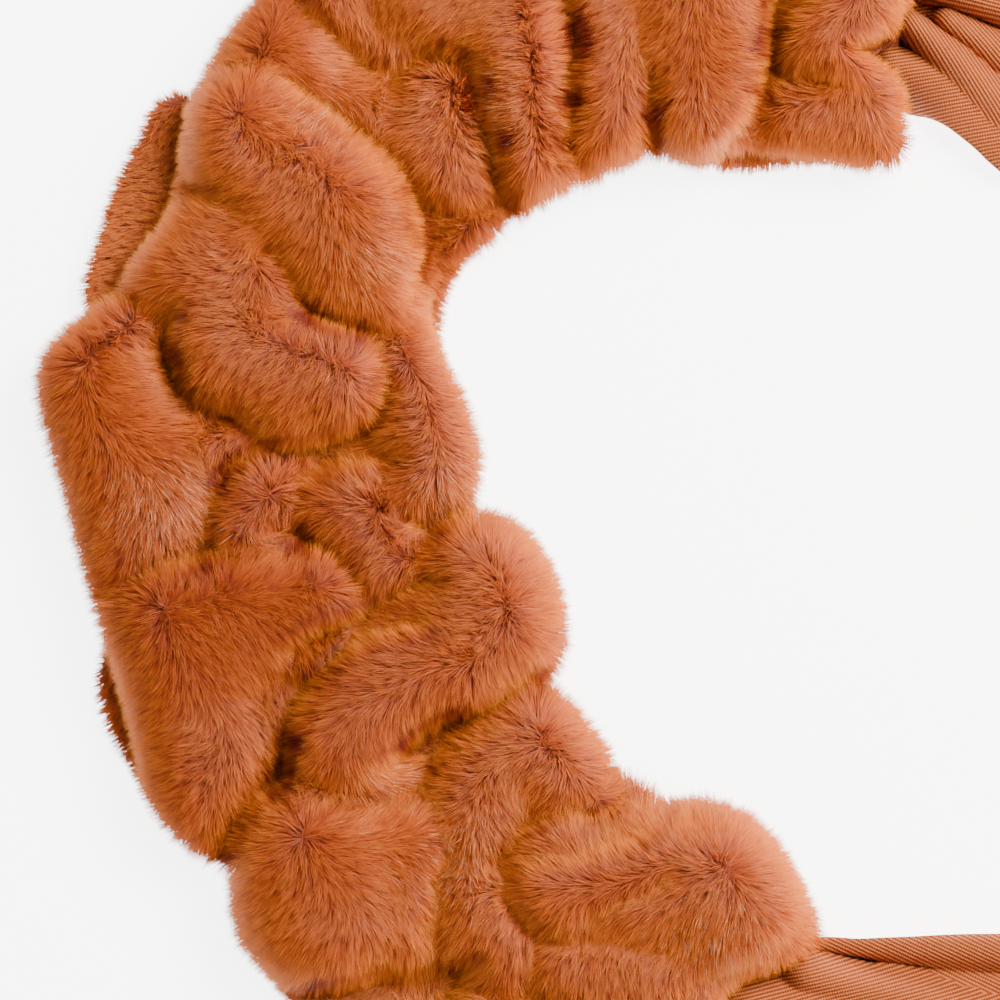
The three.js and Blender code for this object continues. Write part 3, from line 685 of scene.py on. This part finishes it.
def toned(roots, normals, start, tip, trait, bends, in_folds, random):
    """Tone of each strand: that of its lock and some stray, with painted light and shade on top.
    It is paler on a flank, where pale tips show and a rim highlight is painted, and where it
    stands upright, as painted light on the deep pile. It is darker in a crease and in the shade
    patch, as painted shade. Guard hairs get a painted highlight, and the back panel's pile painted
    light against the front panel's shade. A few strands get a painted glint."""
    count = len(roots)
    depth_in_crease = crease_depth_at(tip[:, 0], tip[:, 1])
    flank_sheen = np.clip((1 - normals[:, 2]) / 0.5, 0, 1) * (1 - depth_in_crease)
    upright = np.clip((start[:, 2] - 0.7) / 0.3, 0, 1)
    tone = TONE + LOCK_TONE * (trait - 0.5) + STRAY_TONE * random.normal(size=count)
    # Painted highlights on the guard hairs; painted light on the back panel's pile against the front
    # panel's shade.
    tone += GUARD_HIGHLIGHT * bends + BACK_PANEL_LIGHT * (1 - in_folds)
    # Painted light on flanks and on upright pile, painted shade in creases.
    tone += in_folds * (FLANK_SHEEN * flank_sheen + UPRIGHT_LIGHT * upright - CREASE_SHADE_TONE * depth_in_crease
                        - DEEP_CREASE_SHADE_TONE * depth_in_crease**2)
    x, y, wide, high, darker = SHADE_PATCH
    tone -= darker * np.exp(-(((roots[:, 0] - x) / wide) ** 2) - ((roots[:, 1] - y) / high) ** 2)
    tone = np.clip(tone, *TONE_LIMITS)
    glint = np.zeros(count)
    for x, y, wide in GLINTS:
        glint += np.exp(-((roots[:, 0] - x) ** 2 + (roots[:, 1] - y) ** 2) / wide**2)
    tone[random.random(count) < GLINT_SHARE * glint * in_folds] = GLINT_TONE
    return tone


def halves(roots, normals, combed, lean, random):
    """Directions of a strand's two halves. Its lay is the pull of its weight down the slope plus
    the nap and its lock's lean, each by its share, evened out by dividing it by
    sqrt(its square + 0.06). The first half runs along the cloth's and the combed normal plus the
    lay, and the second half over by more of the lay."""
    down = np.array([0, 0, -1.0])
    halfway = unit(normals + combed)
    slope = down - halfway * (halfway @ down)[:, None]
    brushed = nap(roots[:, 0], roots[:, 1])
    brushed = brushed - normals * (brushed * normals).sum(1)[:, None]
    stray = random.normal(size=roots.shape)
    lay = SLOPE_PULL * slope + NAP_PULL * brushed + LOCK_LEAN * lean
    lay /= np.sqrt((lay**2).sum(1, keepdims=True) + LAY_EVENING)
    start = NORMAL_SHARE * normals + COMBED_SHARE * combed + ROOT_LAY * lay + ROOT_STRAY * stray
    start = unit(start)
    return start, unit(start + TIP_LAY * lay + TIP_STRAY * stray)


def strands(roots, facts, length, width, bends, in_folds, random):
    """Strands as tapered blades, whose tips are drawn towards the middle of their lock and whose
    flat faces turn to the open side. A lock's hair is 0.9 to 1.1 times as long. With bends there
    is a knee at half the length. In the folds a short strand takes only its share of the colours
    from root to tip."""
    count = len(roots)
    normals, combed = unit(facts[:, :3]), unit(facts[:, 3:6])
    point, traits = lock_of(roots)
    lean = np.zeros((count, 3))
    lean[:, :2] = traits[:, :2] - 0.5
    start, finish = halves(roots, normals, combed, lean, random)
    apart = np.zeros((count, 3))
    apart[:, :2] = point - roots[:, :2]
    upward = np.maximum(np.abs(normals[:, 2]), LOCK_STEEP)
    apart[:, 2] = -(apart[:, :2] * normals[:, :2]).sum(1) / upward
    apart *= np.minimum(1, LOCK_REACH / np.maximum(np.linalg.norm(apart, axis=1), 1e-6))[:, None]
    reach = min(1, length / HAIR_LENGTH) if in_folds else 1
    length = (length * (0.9 + 0.2 * traits[:, 2]) * random.uniform(*LENGTH_RANGE, count))[:, None]
    knee = roots + start * length * 0.5 + apart * KNEE_DRAW
    tip = knee + finish * length * 0.5 + apart * TIP_DRAW
    side = np.cross(tip - roots, normals) / length
    stray = np.cross(tip - roots, random.normal(size=(count, 3))) / length
    side = unit(side + SIDE_STRAY * stray)
    face = np.cross(side, tip - roots)
    side *= np.where((face * normals).sum(1) < 0, -1, 1)[:, None]
    face = unit(np.cross(side, tip - roots))
    half = (0.5 * width * random.uniform(*WIDTH_RANGE, count))[:, None] * side
    shade = unit(SHADE_NORMAL * normals + SHADE_FACE * face)
    tone = toned(roots, normals, start, tip, traits[:, 2], bends, in_folds, random)
    blade = np.arange(count)[:, None]
    if bends:
        narrow = KNEE_WIDTH * half
        places = np.stack([roots - half, roots + half, knee - narrow, knee + narrow, tip], 1)
        level = np.array([ROOT_LEVEL, ROOT_LEVEL, 0.5, 0.5, TIP_LEVEL])
        sway = np.array([-1, 1, -1, 1, 0]) * SWAY
        faces = [5 * blade + [0, 1, 3, 2], 5 * blade + [2, 3, 4]]
    else:
        places = np.stack([roots - half, roots + half, tip], 1)
        level = np.array([ROOT_LEVEL, ROOT_LEVEL, TIP_LEVEL * reach])
        sway = np.array([-1, 1, 0]) * SWAY
        faces = [3 * blade + [0, 1, 2]]
    places[..., 2] = np.maximum(places[..., 2], FLOOR_CLEARANCE)
    uv = np.stack(np.broadcast_arrays(tone[:, None] + sway, level[None, :]), -1)
    turned = np.broadcast_to(shade[:, None], places.shape)
    return places.reshape(-1, 3), faces, uv.reshape(-1, 2), turned.reshape(-1, 3)


def joined(groups):
    """Several sets of strands as one: their places in a row, and their faces counted on."""
    places, uvs, normals, faces, base = [], [], [], [], 0
    for group_places, group_faces, group_uv, group_normals in groups:
        places.append(group_places)
        uvs.append(group_uv)
        normals.append(group_normals)
        faces.extend(face + base for face in group_faces)
        base += len(group_places)
    return np.concatenate(places), faces, np.concatenate(uvs), np.concatenate(normals)


# Dyed modacrylic pile: dull dark roots, clear rust lengths and paler polished tips, which show
# at the rims. On top, the tone paints shade deep in the folds and light at the rims, and glints
# are painted highlights: pale strands where the brushed pile catches the light. The uv runs over
# the locks' tones with this painted light and shade, and from root to tip.
pile, shader = new_material("modacrylic_pile", 0.48, 1.46, Specular_IOR_Level=0.18)
hair = add_node(pile, "ShaderNodeUVMap", uv_map="OFBake")
axes = add_node(pile, "ShaderNodeSeparateXYZ", {"Vector": hair.outputs["UV"]})
dyed = ramp(pile, axes.outputs["Y"], (
    (0, "#984E40"), (0.35, "#BA5A36"), (0.68, "#DC7236"), (1, "#F6A238")))
tone_light_and_shade = ramp(pile, axes.outputs["X"], (
    (0, "#743A64"), (0.25, "#9B7880"), (0.5, "#BA9C78"), (1, "#F6E6B8")))
tinted_and_shaded = add_node(pile, "ShaderNodeMix", {"Factor": 1.0, 6: dyed, 7: tone_light_and_shade}, data_type="RGBA",
                  blend_type="MULTIPLY")
painted_glint = add_node(pile, "ShaderNodeMapRange", {
    "Value": axes.outputs["X"], "From Min": 0.94, "From Max": 0.97, "To Max": 0.4})
with_painted_glints = add_node(pile, "ShaderNodeMix", {
    "Factor": painted_glint.outputs["Result"], 6: tinted_and_shaded.outputs[2], 7: paint("#F0BC98")},
    data_type="RGBA")
link(pile, with_painted_glints.outputs[2], shader.inputs["Base Color"])

random = np.random.default_rng(PILE_SEED)
even = np.ones((FRONT_RINGS - 1, FRONT_STEPS))
front_facts = cloth_facts(front_grid, front_normals, COMB_EASE)
crease_depths = crease_depth_map()
for part in range(FRONT_PARTS):
    groups = []
    for total, length, width, bends in FRONT_STRANDS:
        roots, facts = scatter(front_grid, front_facts, total // FRONT_PARTS, False, even, random)
        groups.append(strands(roots, facts, length, width, bends, 1, random))
    places, faces, uv, normals = joined(groups)
    tuft = new_piece(f"fur_front_pile_{part + 1}", places, faces, pile, ("OFBake", uv), normals)

# On the back panel the pile shows only past the front panel, so it is thick on top of the two
# rims, up to a few millimetres under the front, and thin elsewhere and on the underside.
UNDER_FRONT = 4
TOP_SIDE = BACK_LEVEL - 2
THICK, HIDDEN, UNDERSIDE = 1.0, 0.02, 0.04
closed_grid = np.concatenate([back_grid[:, -1:], back_grid, back_grid[:, :1]], axis=1)
back_normals = grid_normals(closed_grid)[:, 1:-1]
inner_rim, outer_rim = back_grid[:, :1, :2], back_grid[:, BACK_STEPS // 2, None, :2]
from_inner = np.linalg.norm(back_grid[..., :2] - inner_rim, axis=2)
from_outer = np.linalg.norm(back_grid[..., :2] - outer_rim, axis=2)
back_place = np.linspace(BACK_TRIM, len(SECTIONS) - 1 - BACK_TRIM, BACK_RINGS)
setbacks = rows_at(SECTIONS, back_place)[:, FRONT_SETBACK:FRONT_SETBACK + 2] + UNDER_FRONT
shows = (from_inner < setbacks[:, :1]) | (from_outer < setbacks[:, 1:])
above = back_grid[..., 2] > TOP_SIDE
back_weight = np.where(shows & above, THICK, np.where(above, HIDDEN, UNDERSIDE))[:-1]
back_facts = np.concatenate([back_normals, back_normals], axis=2)
total, length, width, bends = BACK_STRANDS
roots, facts = scatter(back_grid, back_facts, total, True, back_weight, random)
fringe = strands(roots, facts, length, width, bends, 0, random)
places, faces, uv, normals = joined([fringe])
fringe = new_piece("fur_back_pile", places, faces, pile, ("OFBake", uv), normals)


# Ties: two wide strips of cotton twill, folded double along their length, turned out and pressed.
# Each is pleated into an end of the fur band, and its pleats run out along the free length.

TIE_RINGS = 110
TIE_STEPS = 54
TIE_WALL = 2.4
TIE_CLEARANCE = 0.05
PLEAT_BLEND = 1.2
PLEAT_ROUNDNESS = 0.7

# Distances from the seam: how far a tie starts under the fur, where its rows are square to its
# length, and between which two the twill turns to one direction, as the pleats run out there.
TIE_UNDER_FUR = 9
SEAM_STRAIGHTEN = 34
TURN_POINT = 90
TURN_END = 240

# Rows across a tie: distance from the seam, y of the two edges. Pleats: direction of the twill's
# ridges there in degrees from x, then places along the pleat's crest with x, y, half width and
# height.
TIES = {
    "tie_top": {
        "section": 0, "outward": 1, "seam_x": 289, "seam": (0.17, 0.8),
        "rows": [
            [0, 284.5, 352], [12, 278, 358], [22, 271.5, 363], [32, 265.5, 366],
            [48, 260, 369], [75, 257, 370], [140, 256, 369], [361, 252, 364],
        ],
        "pleats": [
            (10, [[286, 300, 6, 13], [302, 293, 11, 13], [322, 275, 14, 9], [370, 268, 18, 3]]),
            (-57, [[291, 313, 4, 19], [305, 301, 8, 17], [322, 285, 9, 13], [375, 292, 14, 4]]),
            (-50, [[303, 314, 4, 15], [322, 302, 8, 13], [372, 318, 15, 4]]),
            (-14, [[299, 325, 5, 19], [325, 318, 7, 15], [380, 338, 16, 4]]),
            (-20, [[298, 338, 7, 18], [330, 338, 10, 13], [378, 356, 12, 3]]),
        ],
    },
    "tie_bottom": {
        "section": len(SECTIONS) - 1, "outward": -1, "seam_x": 248, "seam": (0.02, 0.86),
        "rows": [
            [0, 18.5, -42], [20, 18.8, -58], [42, 19.4, -72], [60, 20, -80],
            [85, 20, -86], [145, 19, -90], [398, 14, -94],
        ],
        "pleats": [
            (14, [[240, -4, 13, 17], [285, -6, 18, 15], [330, -22, 21, 9], [400, -30, 24, 3]]),
            (14, [[258, 8, 9, 17], [276, 3, 9, 16], [291, 0, 9, 15], [320, -9, 10, 12],
                  [400, -26, 14, 4]]),
            (-26, [[262, 18, 4, 8], [290, 17, 6, 10], [320, 16, 7, 10], [360, 13, 9, 6],
                   [420, 10, 9, 2]]),
            (-26, [[294, 7, 3, 3], [320, 4, 5, 5], [380, 0, 8, 2]]),
            (14, [[223, -22, 9, 16], [290, -40, 15, 13], [345, -56, 18, 7], [400, -62, 18, 2]]),
            (14, [[218, -36, 7, 14], [290, -66, 11, 11], [345, -78, 10, 5]]),
        ],
    },
}


def tie_middle(tie):
    """Middle of a tie's wall, and the direction of the twill's ridges at each point. The points
    run from the seam under the fur's end to the free end, and turn smoothly from the seam's line
    to rows square to the length. The height is the soft highest of the pleats' ridges. The twill
    runs as on the highest pleat, and away from the seam more and more as on the first pleat.
    The rings crowd towards the seam: 0.4 of an even step and 0.6 of its power 2.2."""
    rows = np.array(tie["rows"], float)
    even = np.linspace(0, 1, TIE_RINGS)
    run = (rows[-1, 0] + TIE_UNDER_FUR) * (0.4 * even + 0.6 * even**2.2) - TIE_UNDER_FUR
    edges = rows_at(rows, np.interp(run, rows[:, 0], np.arange(len(rows))))
    q = np.linspace(0, 1, TIE_STEPS)
    place = np.array([float(tie["section"])])
    across = tie["seam"][0] + (tie["seam"][1] - tie["seam"][0]) * q
    seam, _, _ = band_points(place, across[None, :], FRONT_SETBACK)
    seam = seam[0][None] + np.stack([run, 0 * run], 1)[:, None]
    straight = np.clip(run / SEAM_STRAIGHTEN, 0, 1)
    straight = (straight**2 * (3 - 2 * straight))[:, None, None]
    flat = np.dstack(np.broadcast_arrays((tie["seam_x"] + run)[:, None],
                                         edges[:, 1:2] + (edges[:, 2:3] - edges[:, 1:2]) * q))
    flat = seam + (flat - seam) * straight
    total, highest = np.ones(flat.shape[:2]), np.zeros(flat.shape[:2])
    angle = np.full(flat.shape[:2], float(tie["pleats"][0][0]))
    for ribs, path in tie["pleats"]:
        share, height = share_from_path(flat[..., 0], flat[..., 1], path)
        rise = height * np.clip(1 - share**2, 0, 1) ** PLEAT_ROUNDNESS
        total += np.exp(rise / PLEAT_BLEND) - 1
        angle = np.where(rise > highest, ribs, angle)
        highest = np.maximum(highest, rise)
    points = np.dstack([flat, TIE_WALL / 2 + PLEAT_BLEND * np.log(total)])
    base = tie["pleats"][0][0]
    turned = np.clip((TURN_END - run) / (TURN_END - TURN_POINT), 0, 1)[:, None]
    angle = base + (angle - base) * turned
    return points, np.radians(angle)


def twill_uv(places, faces, angle, tie):
    """Metres along and across the twill's ridges at each corner of each face: x and y from where
    the pleats run out, turned by the direction of the ridges on that face."""
    x = places[faces, 0] - tie["seam_x"] - TURN_POINT
    y = places[faces, 1] - tie["rows"][0][1]
    turn = np.tile(angle.ravel(), 2)[faces.min(axis=1)][:, None]
    uv = np.stack([np.cos(turn) * x + np.sin(turn) * y, np.cos(turn) * y - np.sin(turn) * x], -1)
    return uv.reshape(-1, 2) * MM


# Bold cotton twill: a dense diagonal weave, dyed and washed soft, so it is matt and a little
# uneven. Its ridges lie 1.15 mm apart, rounded, and floats of yarn 0.8 mm long break them up.
# The colour paints light on their tops and shade in the troughs between, along with the bump.
# A wave of scale s repeats every (pi / 10) / s.
TWILL_RIDGE = 0.00115
YARN_FLOAT = 0.0008
twill, shader = new_material("cotton_twill", 0.85, 1.5, Specular_IOR_Level=0.3)
cloth = add_node(twill, "ShaderNodeUVMap", uv_map="cloth")
ridges = add_node(twill, "ShaderNodeTexWave", {
    "Vector": cloth.outputs["UV"], "Scale": math.pi / 10 / TWILL_RIDGE, "Distortion": 0.35,
    "Detail": 2.0, "Detail Scale": 0.6}, wave_type="BANDS", bands_direction="Y")
threads = noise(twill, cloth.outputs["UV"], 0.0007, 2)
wear = noise(twill, cloth.outputs["UV"], 0.03, 3)
floats = add_node(twill, "ShaderNodeTexWave", {
    "Vector": cloth.outputs["UV"], "Scale": math.pi / 10 / YARN_FLOAT, "Distortion": 1.5,
    "Detail": 2.0, "Detail Scale": 2.0}, wave_type="BANDS", bands_direction="X")
relief = add_node(twill, "ShaderNodeMix", {
    0: 0.22, 2: ridges.outputs["Fac"], 3: floats.outputs["Fac"]})
# Painted light on the ridges' tops and painted shade in the troughs.
shades = ramp(twill, relief.outputs[0], ((0, "#5E2810"), (0.45, "#9E481E"), (1, "#C87230")))
faded = add_node(twill, "ShaderNodeMix", {"Factor": 0.3, 6: shades, 7: wear}, data_type="RGBA",
                 blend_type="MULTIPLY")
link(twill, faded.outputs[2], shader.inputs["Base Color"])
weave = add_node(twill, "ShaderNodeMath", {0: relief.outputs[0], 1: threads}, operation="ADD")
bump = add_node(twill, "ShaderNodeBump", {
    "Strength": 0.9, "Distance": 0.0004, "Height": weave.outputs["Value"]})
link(twill, bump.outputs["Normal"], shader.inputs["Normal"])

for name, tie in TIES.items():
    middle, angle = tie_middle(tie)
    if tie["outward"] > 0:
        middle, angle = middle[:, ::-1], angle[:, ::-1]
    offset = grid_normals(middle) * TIE_WALL / 2
    places, faces = shell(middle + offset, TIE_WALL)
    places[:, 2] = np.maximum(places[:, 2], TIE_CLEARANCE)
    uv = twill_uv(places, faces, angle, tie)
    piece = new_piece(f"{name}_cloth", places, faces, twill, ("cloth", uv))
    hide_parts(name)


# Studio: a wide pale table, a large soft light from the upper right, a weaker low one from the
# lower right, and an even pale room. The camera looks straight down on a frame of 320 mm, taken
# 15 mm above the table, near the middle of the folds' height.

FRAME = 0.32
FRAME_LEVEL = 0.015
CAMERA_HEIGHT = 2.2
SENSOR = 36
TABLE_HALF = 3
TABLE_LEVEL = -0.0002
middle = (FRAME / 2 - ORIGIN_X * MM, FRAME / 2 - ORIGIN_Y * MM)

paper = bpy.data.meshes.new("paper")
corners = [(middle[0] + i * TABLE_HALF, middle[1] + j * TABLE_HALF, TABLE_LEVEL)
           for i, j in ((-1, -1), (1, -1), (1, 1), (-1, 1))]
paper.from_pydata(corners, [], [(0, 1, 2, 3)])
matt_paper, shader = new_material("matt_white_paper", 0.9, 1.5)
shader.inputs["Base Color"].default_value = paint("#F4F4F4")
shader.inputs["Emission Color"].default_value = paint("#FFFFFF")
shader.inputs["Emission Strength"].default_value = 5.6
paper.materials.append(matt_paper)
table = bpy.data.objects.new("paper_table", paper)
bpy.context.scene.collection.objects.link(table)


def soft_light(name, azimuth, elevation, distance, size, power, colour):
    """A square light that looks at the middle of the frame from a given direction."""
    lamp = bpy.data.lights.new(name, "AREA")
    lamp.size = size
    lamp.energy = power
    lamp.color = paint(colour)[:3]
    light = bpy.data.objects.new(name, lamp)
    a, e = math.radians(azimuth), math.radians(elevation)
    light.location = (middle[0] + distance * math.cos(e) * math.cos(a),
                      middle[1] + distance * math.cos(e) * math.sin(a), distance * math.sin(e))
    light.rotation_euler = (math.pi / 2 - e, 0, a + math.pi / 2)
    bpy.context.scene.collection.objects.link(light)


soft_light("key_light", azimuth=40, elevation=50, distance=1.6, size=0.9, power=78,
           colour="#FFF6EC")
soft_light("low_light", azimuth=-35, elevation=24, distance=1.5, size=0.5, power=14,
           colour="#FFE4DA")

world = bpy.data.worlds.new("room")
world.use_nodes = True
room = world.node_tree.nodes["Background"]
room.inputs["Color"].default_value = paint("#F6F6F8")
room.inputs["Strength"].default_value = 0.6
bpy.context.scene.world = world

camera = bpy.data.cameras.new("camera")
camera.sensor_width = SENSOR
camera.lens = SENSOR * (CAMERA_HEIGHT - FRAME_LEVEL) / FRAME
camera.clip_end = 20
eye = bpy.data.objects.new("camera", camera)
eye.location = (*middle, CAMERA_HEIGHT)
bpy.context.scene.collection.objects.link(eye)
bpy.context.scene.camera = eye
